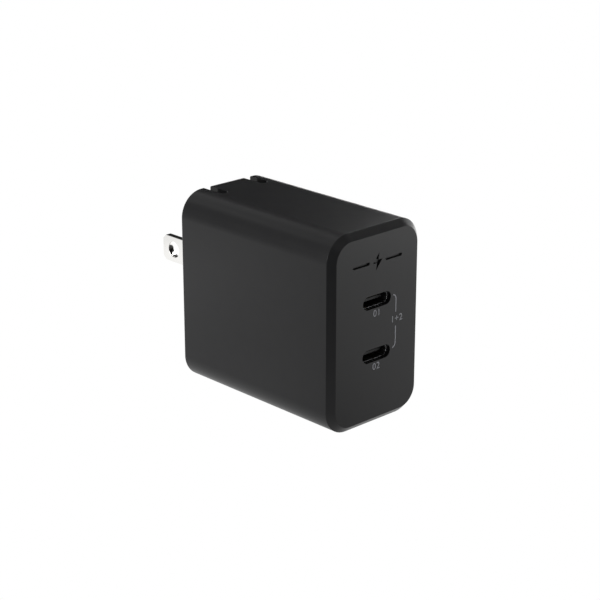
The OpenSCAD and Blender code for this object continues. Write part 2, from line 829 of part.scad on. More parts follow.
module chip_capacitors() {
    size = [0.9, 1.6, 2.4];
    color("#b49468") {
        chip_row(4, 2.6, choke_z - 2.4, size);
        chip_row(3, 2.6, bulk_z, size);
    }
}

module board_header() {
    bar = 1.6;
    color("#202022") block([parts_x, port_board_back, transformer_z - header_length / 2],
                           [parts_x + bar, port_board_back + bar, transformer_z + header_length / 2]);
}

// ---- heat path ----

// A sheet against the right wall, from x0 to x1, set back by a margin on all sides.
// It stops short of the parts on the input board.
module wall_sheet(x0, x1, margin) {
    inlet_depth = max(varistor_thickness, 2 * fuse_radius);
    block([x0, port_board_back + margin, cavity_floor + cavity_radius + margin],
          [x1, input_board_y - inlet_depth - margin, cavity_roof - cavity_radius - margin]);
}

module insulating_sheet() color("#e8e2c8") wall_sheet(sheet_x, cavity_x, sheet_margin);
module heat_spreader() color("#c27a4a") wall_sheet(spreader_x, sheet_x, spreader_margin);

module thermal_pad() {
    pad_length = 12;
    pad_height = core_height - 3;
    color("#9fb6c4") block([core_end_x, main_mid_y - pad_length / 2, transformer_z - pad_height / 2],
                           [spreader_x, main_mid_y + pad_length / 2, transformer_z + pad_height / 2]);
}

housing();
front_cover();
left_blade();
right_blade();
pivot_shaft();
shaft_retainer();
retainer_screws();
detent_spring();
left_contact_spring();
right_contact_spring();
input_board();
main_board();
port_board();
upper_port_shell();
upper_port_tongue();
upper_port_contacts();
lower_port_shell();
lower_port_tongue();
lower_port_contacts();
transformer_core();
transformer_bobbin();
transformer_primary();
transformer_secondary();
front_bulk_capacitor();
middle_bulk_capacitor();
rear_bulk_capacitor();
front_output_capacitor();
rear_output_capacitor();
filter_capacitor();
safety_capacitor();
choke_core();
choke_winding();
surge_absorber();
fuse();
bridge_rectifier();
power_switch();
primary_controller();
optocoupler();
synchronous_rectifier();
upper_port_inductor();
lower_port_inductor();
upper_port_controller();
lower_port_controller();
chip_resistors();
chip_capacitors();
board_header();
heat_spreader();
insulating_sheet();
thermal_pad();
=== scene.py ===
# %% [markdown]
# A compact mains charger: a dark moulded body, a chamfered front cover with two USB-C ports,
# and two flat blades that fold into slots at the back. Every piece sits in the frame of the
# CAD model, so the first step loads that frame and keeps its box.

# %% Load the frame
import json
import math

import bmesh
import bpy
from mathutils import Matrix, Vector


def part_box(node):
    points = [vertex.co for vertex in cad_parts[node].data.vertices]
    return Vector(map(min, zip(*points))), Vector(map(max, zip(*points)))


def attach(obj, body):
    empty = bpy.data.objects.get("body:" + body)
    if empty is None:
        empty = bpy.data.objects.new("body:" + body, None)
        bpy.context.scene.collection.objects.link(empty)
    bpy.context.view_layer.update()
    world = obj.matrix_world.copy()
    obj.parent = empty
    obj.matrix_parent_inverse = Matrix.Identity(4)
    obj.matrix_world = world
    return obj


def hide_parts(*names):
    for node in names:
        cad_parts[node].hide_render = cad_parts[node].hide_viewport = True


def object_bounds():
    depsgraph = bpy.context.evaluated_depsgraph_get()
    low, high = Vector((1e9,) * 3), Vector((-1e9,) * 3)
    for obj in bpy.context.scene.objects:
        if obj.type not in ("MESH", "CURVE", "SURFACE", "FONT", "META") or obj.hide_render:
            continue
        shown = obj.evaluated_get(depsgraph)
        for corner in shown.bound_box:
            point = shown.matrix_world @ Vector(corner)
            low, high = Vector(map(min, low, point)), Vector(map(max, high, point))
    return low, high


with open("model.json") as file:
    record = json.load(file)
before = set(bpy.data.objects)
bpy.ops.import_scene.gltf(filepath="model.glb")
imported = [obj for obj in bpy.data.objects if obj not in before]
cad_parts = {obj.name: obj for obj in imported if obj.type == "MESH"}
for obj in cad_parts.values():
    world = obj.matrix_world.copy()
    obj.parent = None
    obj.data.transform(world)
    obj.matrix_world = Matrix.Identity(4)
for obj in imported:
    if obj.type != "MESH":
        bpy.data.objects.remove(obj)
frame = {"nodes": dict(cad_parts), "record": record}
cad_low, cad_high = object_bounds()
MM = 0.001
print("CAD box, mm:", [round(v / MM, 2) for v in (*cad_low, *cad_high)])

# %% [markdown]
# The camera looks down on the corner between the ports and the left side. A long lens from
# less than half a metre keeps the upright edges nearly parallel, as a product shot has them.

# %% Camera
camera_place = (-0.2615, -0.2752, 0.1598)
camera_pitch = -19.76
camera_heading = -43.565

camera_data = bpy.data.cameras.new("product_camera")
camera_data.sensor_width = 36
camera_data.lens = 103.24
camera = bpy.data.objects.new("product_camera", camera_data)
camera.location = camera_place
camera.rotation_euler = (math.radians(90 + camera_pitch), 0, math.radians(camera_heading))
bpy.context.scene.collection.objects.link(camera)
bpy.context.scene.camera = camera
bpy.context.scene.view_settings.view_transform = "Standard"
print("camera distance, m:", round(camera.location.length, 3))

# %% [markdown]
# Materials are node trees, so three small helpers keep them readable: one turns an sRGB hex
# colour into the linear values that Blender works in, one adds a node with its settings and
# links, and one starts a material that already has its shader.

# %% Material helpers
def linear(hex_colour):
    """The linear red, green, blue and alpha of an sRGB colour such as #1b1b1c."""
    shares = [int(hex_colour[i:i + 2], 16) / 255 for i in (1, 3, 5)]
    return [s / 12.92 if s <= 0.04045 else ((s + 0.055) / 1.055) ** 2.4 for s in shares] + [1.0]


def add_node(tree, kind, inputs=None, **settings):
    """Adds a node. An input is a value, or an output socket of another node to link from."""
    node = tree.nodes.new(kind)
    for name, value in settings.items():
        setattr(node, name, value)
    for name, value in (inputs or {}).items():
        if isinstance(value, bpy.types.NodeSocket):
            tree.links.new(value, node.inputs[name])
        else:
            node.inputs[name].default_value = value
    return node


def start_material(name, **shader_inputs):
    """A new material and its Principled shader, with uniform values on the shader's sockets."""
    material = bpy.data.materials.new(name)
    material.use_nodes = True
    shader = material.node_tree.nodes["Principled BSDF"]
    for socket, value in shader_inputs.items():
        shader.inputs[socket.replace("_", " ")].default_value = value
    return material, material.node_tree, shader


# Where a mix of colours keeps its two colours and its result, among its sockets.
mix_first, mix_second, mix_result = 6, 7, 2
print("black plastic in linear light:", [round(c, 4) for c in linear("#1a1a1b")])

# %% [markdown]
# The studio is a white sweep with soft lamps. A dark glossy object is mostly what it mirrors,
# so the floor glows and fills the sides with light, most of it behind the object and to its
# right, while the room above stays dim. The camera itself sees plain white.

# %% Stage: the floor's material
glow_reach = 50 * MM
glow_middle = 0.68
glow_left, glow_right = 0.48, 1.08
glow_front, glow_back = 0.0, 2.25

floor_material, tree, shader = start_material("white_sweep", Base_Color=(0, 0, 0, 1), Roughness=1.0)
shader.inputs["Specular IOR Level"].default_value = 0
shader.inputs["Emission Color"].default_value = (1, 1, 1, 1)
seen_directly = add_node(tree, "ShaderNodeLightPath").outputs["Is Camera Ray"]
place = add_node(tree, "ShaderNodeTexCoord").outputs["Object"]
print("glow left, right, front, back:", glow_left, glow_right, glow_front, glow_back)

# %% Stage: the glow to each side
# The glow is a weighted mean. The middle's weight is the reach squared, and each side's is the
# distance squared, measured across or along the camera's view.
turned = add_node(tree, "ShaderNodeMapping",
                  {"Vector": place, "Rotation": (0, 0, -math.radians(camera_heading))})
ways = add_node(tree, "ShaderNodeSeparateXYZ", {"Vector": turned.outputs["Vector"]})
total = glow_middle * glow_reach ** 2
squares = glow_reach ** 2
for way, low_side, high_side in (("X", glow_left, glow_right), ("Y", glow_front, glow_back)):
    distance = ways.outputs[way]
    square = add_node(tree, "ShaderNodeMath", {0: distance, 1: distance}, operation="MULTIPLY")
    side = add_node(tree, "ShaderNodeMath", {0: distance, 1: 0.0}, operation="GREATER_THAN")
    glow = add_node(tree, "ShaderNodeMapRange",
                    {"Value": side.outputs[0], "To Min": low_side, "To Max": high_side})
    total = add_node(tree, "ShaderNodeMath",
                     {0: square.outputs[0], 1: glow.outputs["Result"], 2: total},
                     operation="MULTIPLY_ADD").outputs[0]
    squares = add_node(tree, "ShaderNodeMath", {0: square.outputs[0], 1: squares},
                       operation="ADD").outputs[0]
spread_glow = add_node(tree, "ShaderNodeMath", {0: total, 1: squares}, operation="DIVIDE")
print("glow in the middle:", glow_middle)

# %% Stage: the pool of light, and what the camera sees
# A softer round pool behind the left side, which the blades mirror.
pool_place = (-65 * MM, 95 * MM, 0)
pool_reach = 35 * MM
pool_glow = 0.5

away = add_node(tree, "ShaderNodeVectorMath", {0: place, 1: pool_place}, operation="DISTANCE")
share = add_node(tree, "ShaderNodeMath", {0: away.outputs["Value"], 1: pool_reach}, operation="DIVIDE")
fall = add_node(tree, "ShaderNodeMath", {0: share.outputs[0], 1: share.outputs[0], 2: 1.0},
                operation="MULTIPLY_ADD")
pool = add_node(tree, "ShaderNodeMath", {0: pool_glow, 1: fall.outputs[0]}, operation="DIVIDE")
floor_glow = add_node(tree, "ShaderNodeMath", {0: spread_glow.outputs[0], 1: pool.outputs[0]},
                      operation="ADD")
shown_glow = add_node(tree, "ShaderNodeMix",
                      {"Factor": seen_directly, "A": floor_glow.outputs[0], "B": 1.0})
tree.links.new(shown_glow.outputs["Result"], shader.inputs["Emission Strength"])
print("floor nodes:", len(tree.nodes))

# %% Stage: the floor and the room
floor_size = 6.0
floor_drop = 0.05 * MM
room_glow = 0.02

floor_bm = bmesh.new()
bmesh.ops.create_grid(floor_bm, x_segments=1, y_segments=1, size=floor_size / 2,
                      matrix=Matrix.Translation((0, 0, cad_low.z - floor_drop)))
floor_mesh = bpy.data.meshes.new("floor")
floor_bm.to_mesh(floor_mesh)
floor_bm.free()
floor_mesh.materials.append(floor_material)
floor = bpy.data.objects.new("floor", floor_mesh)
bpy.context.scene.collection.objects.link(floor)

world = bpy.data.worlds.new("studio")
bpy.context.scene.world = world
world.use_nodes = True
tree = world.node_tree
backdrop = tree.nodes["Background"]
backdrop.inputs["Color"].default_value = (1, 1, 1, 1)
seen_directly = add_node(tree, "ShaderNodeLightPath").outputs["Is Camera Ray"]
glow = add_node(tree, "ShaderNodeMapRange", {"Value": seen_directly, "To Min": room_glow, "To Max": 1.0})
tree.links.new(glow.outputs["Result"], backdrop.inputs["Strength"])
print("floor at z, mm:", round((cad_low.z - floor_drop) / MM, 3))

# %% [markdown]
# The lamps are soft rectangular panels that face the object from all around. Most stand a
# metre away, and two small ones stand close by, on the right.

# %% Lamps
# Each panel: heading in degrees (0 is on the blades' side, 90 on the right as seen from the
# ports' side), height angle in degrees, distance, width and depth in metres, power in watts.
panels = {
    "overhead_panel": (44, 85, 1.0, 0.9, 0.9, 4.5),
    "back_panel": (44, 42, 1.0, 0.6, 0.6, 0.1),
    "back_left_panel": (359, 38, 1.0, 0.75, 0.4, 0.5),
    "left_panel": (314, 20, 1.0, 0.75, 0.6, 0.48),
    "high_left_panel": (325, 45, 1.0, 0.6, 0.3, 0.16),
    "side_panel": (269, 13, 1.0, 0.75, 0.4, 7.7),
    "right_panel": (95, 10, 1.0, 0.6, 0.35, 0.9),
    "front_panel": (179, 38, 1.0, 0.75, 0.4, 0.4),
    "near_right_panel": (85, 40, 0.15, 0.08, 0.08, 0.15),
    "low_right_panel": (136, 0, 0.15, 0.08, 0.04, 0.009),
}


def aim_panel(name, heading, height, distance, width, depth, power):
    """A rectangular area lamp that faces the middle of the body."""
    lamp = bpy.data.lights.new(name, "AREA")
    lamp.shape = "RECTANGLE"
    lamp.size = width
    lamp.size_y = depth
    lamp.energy = power
    turn = math.radians(heading)
    rise = math.radians(height)
    outward = Vector((math.sin(turn) * math.cos(rise), math.cos(turn) * math.cos(rise), math.sin(rise)))
    panel = bpy.data.objects.new(name, lamp)
    panel.location = (cad_low + cad_high) / 2 + outward * distance
    panel.rotation_euler = outward.to_track_quat("Z", "Y").to_euler()
    panel.visible_camera = False
    bpy.context.scene.collection.objects.link(panel)
    return panel


for name, settings in panels.items():
    aim_panel(name, *settings)
print("lamps:", list(panels))

# %% [markdown]
# Most pieces here are moulded, so two helpers serve nearly every finish. One turns noise into
# a bump with the real height of the grain, and one lets a value or a colour drift softly over
# a piece, because no moulding or sheet is perfectly even. Both read Object coordinates, which
# are the CAD frame's metres, so a grain of 0.2 mm is 0.2 mm on every piece.

# %% Grain and mottle
def noise_of(tree, size, detail, stretch=(1, 1, 1)):
    """Noise whose features are this many metres wide, times the stretch along x, y and z."""
    place = add_node(tree, "ShaderNodeTexCoord").outputs["Object"]
    shares = [1 / (size * s) for s in stretch]
    spread = add_node(tree, "ShaderNodeMapping", {"Vector": place, "Scale": shares})
    return add_node(tree, "ShaderNodeTexNoise",
                    {"Vector": spread.outputs["Vector"], "Scale": 1.0, "Detail": detail}).outputs["Fac"]


def add_grain(tree, shader, size, height, detail=2.0, stretch=(1, 1, 1)):
    """Gives a shader a bump made of noise. Its size and height are in metres."""
    fac = noise_of(tree, size, detail, stretch)
    bump = add_node(tree, "ShaderNodeBump", {"Height": fac, "Distance": height})
    tree.links.new(bump.outputs["Normal"], shader.inputs["Normal"])
    return bump


def add_drift(tree, shader, socket, size, first, second, stretch=(1, 1, 1)):
    """Lets one socket of a shader wander between two values or two sRGB colours."""
    fac = noise_of(tree, size, 3.0, stretch)
    if isinstance(first, str):
        mix = add_node(tree, "ShaderNodeMix", {"Factor": fac, mix_first: linear(first),
                                               mix_second: linear(second)}, data_type="RGBA")
        tree.links.new(mix.outputs[mix_result], shader.inputs[socket])
        return
    spread = add_node(tree, "ShaderNodeMapRange", {"Value": fac, "From Min": 0.25, "From Max": 0.75,
                                                   "To Min": first, "To Max": second})
    tree.links.new(spread.outputs["Result"], shader.inputs[socket])


finishes = {}
print("helpers ready")

# %% [markdown]
# The casing is a black polycarbonate blend, injection moulded in a spark-eroded tool. That
# leaves a fine even grain which softens every reflection, so the material is nearly black,
# satin rather than glossy, and carries a noise bump as fine as the tool's.

# %% Casing plastic
casing_grain = 0.25 * MM
casing_relief = 0.004 * MM

material, tree, shader = start_material("moulded_polycarbonate", IOR=1.5, Specular_IOR_Level=0.3)
add_drift(tree, shader, "Base Color", 3 * MM, "#1a1a1b", "#1e1e1f")
add_drift(tree, shader, "Roughness", 6 * MM, 0.28, 0.33)
add_grain(tree, shader, casing_grain, casing_relief)
finishes["casing_plastic"] = material

# The same plastic where the tool's inserts were polished: the slots and the ports' cut-outs.
# Its base colour is far darker than the casing's: painted shade for these deep recesses. The lower roughness
# is the polish.
material, tree, shader = start_material("polished_shaded_polycarbonate", IOR=1.5, Specular_IOR_Level=0.4)
add_drift(tree, shader, "Base Color", 3 * MM, "#0b0b0c", "#0e0e0f")
add_drift(tree, shader, "Roughness", 2 * MM, 0.1, 0.16)
add_grain(tree, shader, 1 * MM, 0.001 * MM)
polished_shaded_plastic = material
print("grain, mm:", casing_grain / MM)

# %% [markdown]
# Metals differ by how their sheet was made. Rolled sheet has faint lines along the rolling
# direction, plating evens them out, and gold is plated over nickel. One function draws a
# metal with lines of a given spacing and direction, and each metal is one call of it.

# %% Metals
def metal(name, colour, dark_colour, roughness, lines, stretch, height):
    """A rolled or drawn metal: lines is their spacing in metres, stretch how they run."""
    made, tree, shader = start_material(name, Metallic=1.0)
    add_drift(tree, shader, "Base Color", 20 * lines, dark_colour, colour)
    add_drift(tree, shader, "Roughness", 4 * lines, roughness * 0.8, roughness * 1.2, stretch)
    add_grain(tree, shader, lines, height, 3.0, stretch)
    return made


# Bright nickel over brass: the blades, smooth enough to mirror the room.
finishes["blade_metal"] = metal("bright_nickel_plate", "#eeedeb", "#e6e5e2", 0.09,
                                0.12 * MM, (1, 30, 1), 0.0006 * MM)
# Nickel-plated stainless sheet, deep drawn: the ports' shells.
finishes["port_steel"] = metal("drawn_steel_sheet", "#b9babb", "#a6a7a9", 0.28,
                               0.1 * MM, (1, 12, 1), 0.001 * MM)
# Zinc-plated steel: the screws, a little bluish and dull.
finishes["screw_steel"] = metal("zinc_plated_steel", "#b4b8bc", "#9fa3a8", 0.35,
                                0.08 * MM, (1, 1, 1), 0.001 * MM)
# Rolled spring steel: the leaf, with straight rolling lines.
finishes["spring_steel"] = metal("rolled_spring_steel", "#b7b9bc", "#a9abae", 0.3,
                                 0.06 * MM, (1, 1, 20), 0.001 * MM)
# Rolled phosphor bronze: the contact springs, a reddish gold.
finishes["spring_bronze"] = metal("rolled_phosphor_bronze", "#d49a5c", "#c08648", 0.28,
                                  0.06 * MM, (1, 20, 1), 0.001 * MM)
# Gold flash over nickel: the ports' contacts.
finishes["contact_gold"] = metal("gold_flash", "#e6be5e", "#d9ae4b", 0.22,
                                 0.03 * MM, (1, 10, 1), 0.0004 * MM)
# Rolled copper sheet: the heat spreader, slightly tarnished in patches.
finishes["spreader_copper"] = metal("rolled_copper", "#d9906a", "#b8704c", 0.32,
                                    0.1 * MM, (1, 20, 1), 0.0015 * MM)
# Bare deep-drawn aluminium: the output capacitors' cans.
finishes["capacitor_can"] = metal("drawn_aluminium", "#cfd1d4", "#c2c4c8", 0.3,
                                  0.08 * MM, (12, 1, 1), 0.001 * MM)
print("metals:", len(finishes) - 1)

# %% [markdown]
# The plastics, papers and ceramics inside differ in colour, in gloss and in how coarse their
# surface is. Each is one call of the same function, with the real size of its texture.

# %% Moulded and fired materials
def solid(name, colour, other_colour, roughness, texture, height, **shader_inputs):
    """A plastic, resin or ceramic whose surface texture is this many metres wide and high."""
    made, tree, shader = start_material(name, **shader_inputs)
    add_drift(tree, shader, "Base Color", 6 * texture, colour, other_colour)
    add_drift(tree, shader, "Roughness", 3 * texture, roughness * 0.9, roughness * 1.1)
    add_grain(tree, shader, texture, height)
    return made


# Glass-filled nylon, moulded: the pivot shaft, dark and slightly greasy in its shine.
finishes["shaft_nylon"] = solid("glass_filled_nylon", "#242425", "#2f2f31", 0.42, 0.2 * MM, 0.004 * MM)
# Unpainted moulded blend: the retainer.
finishes["retainer_plastic"] = solid("moulded_abs", "#3f3f43", "#48484c", 0.45, 0.2 * MM, 0.003 * MM)
# Liquid-crystal polymer: the ports' tongues, matt black with a fine flow grain.
finishes["port_plastic"] = solid("liquid_crystal_polymer", "#0f0f10", "#161617", 0.5, 0.1 * MM, 0.002 * MM)
# Sintered ferrite, ground on its faces: dark grey, dull, granular.
finishes["ferrite"] = solid("sintered_ferrite", "#37373a", "#48484b", 0.62, 0.12 * MM, 0.006 * MM)
# Phenolic resin with mineral filler: the bobbin, ivory and slightly mottled.
finishes["bobbin_plastic"] = solid("moulded_phenolic", "#d9d2c0", "#cbc3af", 0.5, 0.25 * MM, 0.003 * MM)
# Dipped epoxy over a ceramic disc: glossy, with the slow waves of a dipped coat.
finishes["blue_ceramic"] = solid("dipped_blue_epoxy", "#2d62a3", "#3670b3", 0.22, 0.8 * MM, 0.02 * MM)
# Epoxy paint over a ferrite ring: green, half glossy, slightly orange-peeled.
finishes["choke_ferrite"] = solid("painted_ferrite", "#35583f", "#3f6749", 0.35, 0.3 * MM, 0.01 * MM)
# Transfer-moulded black epoxy: chip bodies, matt with a speckle of silica.
finishes["chip_epoxy"] = solid("moulded_chip_epoxy", "#1c1c1e", "#29292b", 0.6, 0.08 * MM, 0.003 * MM)
# White moulded epoxy: the optocoupler's body.
finishes["white_epoxy"] = solid("moulded_white_epoxy", "#e8e6de", "#dedbd1", 0.5, 0.1 * MM, 0.002 * MM)
# Pressed iron powder with a resin binder: the inductors, a coarse grey sparkle.
finishes["moulded_inductor"] = solid("pressed_iron_powder", "#55575b", "#6b6d71", 0.55, 0.1 * MM,
                                     0.006 * MM, Metallic=0.3)
# Sintered barium titanate: chip capacitors, tan and slightly translucent at the edges.
finishes["chip_ceramic"] = solid("sintered_titanate", "#b39166", "#a18056", 0.45, 0.1 * MM, 0.002 * MM)
# Black nylon header strip.
finishes["header_plastic"] = solid("header_nylon", "#1d1d1f", "#262628", 0.45, 0.15 * MM, 0.002 * MM)
# Polyester film, calendered: smooth, milky, half matt.
finishes["film_sheet"] = solid("polyester_film", "#ece7d3", "#e2dcc6", 0.35, 0.5 * MM, 0.002 * MM)
# Silicone gap filler: soft, dull, with a faint cloth imprint.
finishes["silicone_pad"] = solid("silicone_gap_filler", "#93a9b8", "#a2b6c4", 0.7, 0.3 * MM, 0.01 * MM)
# Flame-retardant case, moulded glossy: the mains filter capacitor.
finishes["film_capacitor_case"] = solid("moulded_pbt", "#e0bf38", "#d8b62f", 0.3, 0.4 * MM, 0.003 * MM)
print("finishes so far:", len(finishes))

# %% [markdown]
# Four finishes need their own tree. A circuit board is glass-fibre under green lacquer, with
# the copper tracks standing up a little beneath it. Wire lies in turns, so its bump is a row
# of ridges one wire apart. A storage capacitor wears a dark sleeve that leaves its aluminium
# end bare, and the fuse is a ceramic tube between two metal caps.

# %% Circuit board
track_pitch = 1.1 * MM
track_height = 0.03 * MM
track_share = 0.42

material, tree, shader = start_material("lacquered_glass_fibre", Roughness=0.3)
place = add_node(tree, "ShaderNodeTexCoord").outputs["Object"]
cells = add_node(tree, "ShaderNodeTexVoronoi", {"Vector": place, "Scale": 1 / track_pitch},
                 distance="MANHATTAN", feature="F1")
tracks = add_node(tree, "ShaderNodeMath", {0: cells.outputs["Distance"], 1: track_share},
                  operation="LESS_THAN").outputs["Value"]
lacquer = add_node(tree, "ShaderNodeMix", {"Factor": tracks, mix_first: linear("#134a29"),
                                           mix_second: linear("#1f6b3a")}, data_type="RGBA")
tree.links.new(lacquer.outputs[mix_result], shader.inputs["Base Color"])
bump = add_node(tree, "ShaderNodeBump", {"Height": tracks, "Distance": track_height})
tree.links.new(bump.outputs["Normal"], shader.inputs["Normal"])
finishes["circuit_board"] = material
print("track pitch, mm:", track_pitch / MM)

# %% Wound wire
def wound_wire(name, colour, dark_colour, roughness, wire, metallic):
    """Wire laid in turns along x: ridges one wire diameter apart, given in metres, with painted shade
    darkening the grooves between them.
    """
    made, tree, shader = start_material(name, Metallic=metallic, Roughness=roughness)
    place = add_node(tree, "ShaderNodeTexCoord").outputs["Object"]
    # A wave texture repeats every pi / 10 units at scale 1, hence the factor.
    turns = add_node(tree, "ShaderNodeTexWave", {"Vector": place, "Scale": math.pi / 10 / wire,
                                                 "Distortion": 0.4, "Detail": 1.0},
                     wave_type="BANDS", bands_direction="X", wave_profile="SIN")
    # The colour runs from dark_colour in the grooves to colour on the crests: painted shade between the
    # turns.
    mix = add_node(tree, "ShaderNodeMix", {"Factor": turns.outputs["Fac"], mix_first: linear(dark_colour),
                                           mix_second: linear(colour)}, data_type="RGBA")
    tree.links.new(mix.outputs[mix_result], shader.inputs["Base Color"])
    bump = add_node(tree, "ShaderNodeBump", {"Height": turns.outputs["Fac"], "Distance": wire / 3})
    tree.links.new(bump.outputs["Normal"], shader.inputs["Normal"])
    return made


# Enamelled copper: metal under a clear amber coat.
finishes["copper_wire"] = wound_wire("enamelled_copper", "#c9703a", "#6e3417", 0.25, 0.35 * MM, 1.0)
# Triple-insulated wire: a matt yellow plastic skin.
finishes["insulated_wire"] = wound_wire("insulated_wire", "#dcae2f", "#8b6a16", 0.45, 0.6 * MM, 0.0)
print("wires ready")

# %% Capacitor sleeve and fuse
def two_part(name, axis, low, high, inside, outside, roughness_inside, roughness_outside):
    """One finish between two planes across an axis, and bare metal beyond them."""
    made, tree, shader = start_material(name)
    place = add_node(tree, "ShaderNodeTexCoord").outputs["Object"]
    along = add_node(tree, "ShaderNodeSeparateXYZ", {"Vector": place}).outputs[axis]
    above = add_node(tree, "ShaderNodeMath", {0: along, 1: low}, operation="GREATER_THAN").outputs["Value"]
    below = add_node(tree, "ShaderNodeMath", {0: along, 1: high}, operation="LESS_THAN").outputs["Value"]
    between = add_node(tree, "ShaderNodeMath", {0: above, 1: below}, operation="MULTIPLY").outputs["Value"]
    mix = add_node(tree, "ShaderNodeMix", {"Factor": between, mix_first: linear(outside),
                                           mix_second: linear(inside)}, data_type="RGBA")
    tree.links.new(mix.outputs[mix_result], shader.inputs["Base Color"])
    metal_share = add_node(tree, "ShaderNodeMapRange", {"Value": between, "To Min": 1.0, "To Max": 0.0})
    tree.links.new(metal_share.outputs["Result"], shader.inputs["Metallic"])
    gloss = add_node(tree, "ShaderNodeMapRange", {"Value": between, "To Min": roughness_outside,
                                                  "To Max": roughness_inside})
    tree.links.new(gloss.outputs["Result"], shader.inputs["Roughness"])
    add_grain(tree, shader, 0.2 * MM, 0.002 * MM)
    return made


can_low, can_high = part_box("middle_bulk_capacitor")
bare_end = 0.2 * MM
sleeve_end = can_high.x - bare_end
finishes["capacitor_sleeve"] = two_part("shrunk_pvc_sleeve", "X", can_low.x, sleeve_end,
                                        "#22335c", "#c4c6ca", 0.3, 0.35)
fuse_low, fuse_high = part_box("fuse")
fuse_cap = 1.6 * MM
finishes["fuse_ceramic"] = two_part("capped_ceramic_tube", "Z", fuse_low.z + fuse_cap,
                                    fuse_high.z - fuse_cap, "#cfd3c2", "#b9bbbf", 0.35, 0.25)
print("sleeve ends at x, mm:", round(sleeve_end / MM, 2))

# %% [markdown]
# Every CAD node keeps its exact shape and takes the finish that the record names for it.
# Pieces that need softer edges or finer shapes than the CAD model has are built further on,
# and stand in for their nodes.

# %% Finish the CAD nodes
finish_of_node = {part["node"]: part["material_slot"] for part in frame["record"]["subparts"]}
for name, node in frame["nodes"].items():
    node.material_slots[0].material = finishes[finish_of_node[name]]
print("nodes finished:", len(finish_of_node))

# %% [markdown]
# The modelling helpers work in millimetres and scale at the very end. A piece starts as a
# block or a rod, gets its round edges from bevels, and its holes from Booleans with other
# such shapes. Weighted normals then keep the large flats flat beside the small rounds.

# %% Modelling helpers
# The least length that matters here, in millimetres: nearer than this is the same place.
hair = 0.001


def box_mm(node):
    """A CAD node's lowest and highest corners, in millimetres."""
    low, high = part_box(node)
    return low / MM, high / MM


def block(low, high):
    """A cuboid from its two corners."""
    low, high = Vector(low), Vector(high)
    bm = bmesh.new()
    place = Matrix.Translation((low + high) / 2) @ Matrix.Diagonal((*(high - low), 1))
    bmesh.ops.create_cube(bm, size=1, matrix=place)
    return bm


def rod(centre, axis, radius, length, segments=48):
    """A cylinder about its centre, along axis 0, 1 or 2."""
    bm = bmesh.new()
    direction = Vector([float(i == axis) for i in range(3)])
    place = Matrix.Translation(centre) @ direction.to_track_quat("Z", "Y").to_matrix().to_4x4()
    bmesh.ops.create_cone(bm, cap_ends=True, segments=segments, radius1=radius, radius2=radius,
                          depth=length, matrix=place)
    return bm


def bevel(bm, edges, width, segments):
    """Rounds or, with one segment, cuts the edges by a width."""
    bmesh.ops.bevel(bm, geom=list(edges), offset=width, offset_type="OFFSET", segments=segments,
                    profile=0.5, affect="EDGES", material=-1, clamp_overlap=True)


def edges_along(bm, axis):
    """The edges that run along one axis."""
    return [e for e in bm.edges if abs((e.verts[0].co - e.verts[1].co).normalized()[axis]) > 0.999]


def edges_at(bm, axis, value):
    """The sharp edges that lie in the plane where that axis has that value."""
    return [e for e in bm.edges
            if all(abs(v.co[axis] - value) < hair for v in e.verts) and turns_at(e)]


def turns_at(edge, least=30):
    """True where the surface turns by more than some degrees across the edge."""
    return len(edge.link_faces) == 2 and edge.calc_face_angle() > math.radians(least)


def rounded_block(low, high, radius, segments, axis=1):
    """A block whose four edges along one axis are round."""
    bm = block(low, high)
    bevel(bm, edges_along(bm, axis), radius, segments)
    return bm


print("modelling helpers ready")

# %% Booleans and finishing
def as_object(bm, name):
    """Puts a bmesh into the scene as an object, and frees it."""
    mesh = bpy.data.meshes.new(name)
    bm.to_mesh(mesh)
    bm.free()
    made = bpy.data.objects.new(name, mesh)
    bpy.context.scene.collection.objects.link(made)
    return made


def combine(body, tool, operation="DIFFERENCE"):
    """Cuts one bmesh with another, or joins them, and gives the result."""
    helpers = [as_object(body, "body"), as_object(tool, "tool")]
    boolean = helpers[0].modifiers.new("boolean", "BOOLEAN")
    boolean.object = helpers[1]
    boolean.operation = operation
    boolean.solver = "EXACT"
    result = bmesh.new()
    result.from_object(helpers[0], bpy.context.evaluated_depsgraph_get())
    for helper in helpers:
        mesh = helper.data
        bpy.data.objects.remove(helper)
        bpy.data.meshes.remove(mesh)
    return result


def together(*parts):
    """One bmesh that holds several which don't touch."""
    whole = bmesh.new()
    for part in parts:
        mesh = bpy.data.meshes.new("part")
        part.to_mesh(mesh)
        part.free()
        whole.from_mesh(mesh)
        bpy.data.meshes.remove(mesh)
    return whole


def finish_piece(bm, name, nodes, body="casing", sharp=35, slot=None):
    """Cleans, scales and shades a piece, gives it its finish, and lets it stand for its nodes."""
    bmesh.ops.remove_doubles(bm, verts=bm.verts, dist=hair / 2)
    bmesh.ops.recalc_face_normals(bm, faces=bm.faces)
    bmesh.ops.transform(bm, matrix=Matrix.Scale(MM, 4), verts=bm.verts)
    for face in bm.faces:
        face.smooth = True
    piece = as_object(bm, name)
    piece.data.set_sharp_from_angle(angle=math.radians(sharp))
    normals = piece.modifiers.new("flat_faces", "WEIGHTED_NORMAL")
    normals.keep_sharp = True
    slot = slot or finish_of_node[nodes[0]]
    piece.data.materials.append(finishes[slot])
    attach(piece, body)
    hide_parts(*nodes)
    open_edges = sum(1 for count in edge_use(piece.data).values() if count != 2)
    print(name, "faces:", len(piece.data.polygons), "open edges:", open_edges)
    return piece


def polish_and_shade(piece, is_polished_shaded):
    """Gives the polished plastic, darkened with painted shade, to the faces whose middle, in millimetres,
    passes a test.
    """
    piece.data.materials.append(polished_shaded_plastic)
    chosen = [face for face in piece.data.polygons if is_polished_shaded(face.center / MM)]
    for face in chosen:
        face.material_index = 1
    print(piece.name, "polished faces:", len(chosen))


def edge_use(mesh):
    """How many faces use each edge, by the edge's two vertices."""
    use = {}
    for polygon in mesh.polygons:
        for key in polygon.edge_keys:
            use[key] = use.get(key, 0) + 1
    return use


print("Boolean helpers ready")

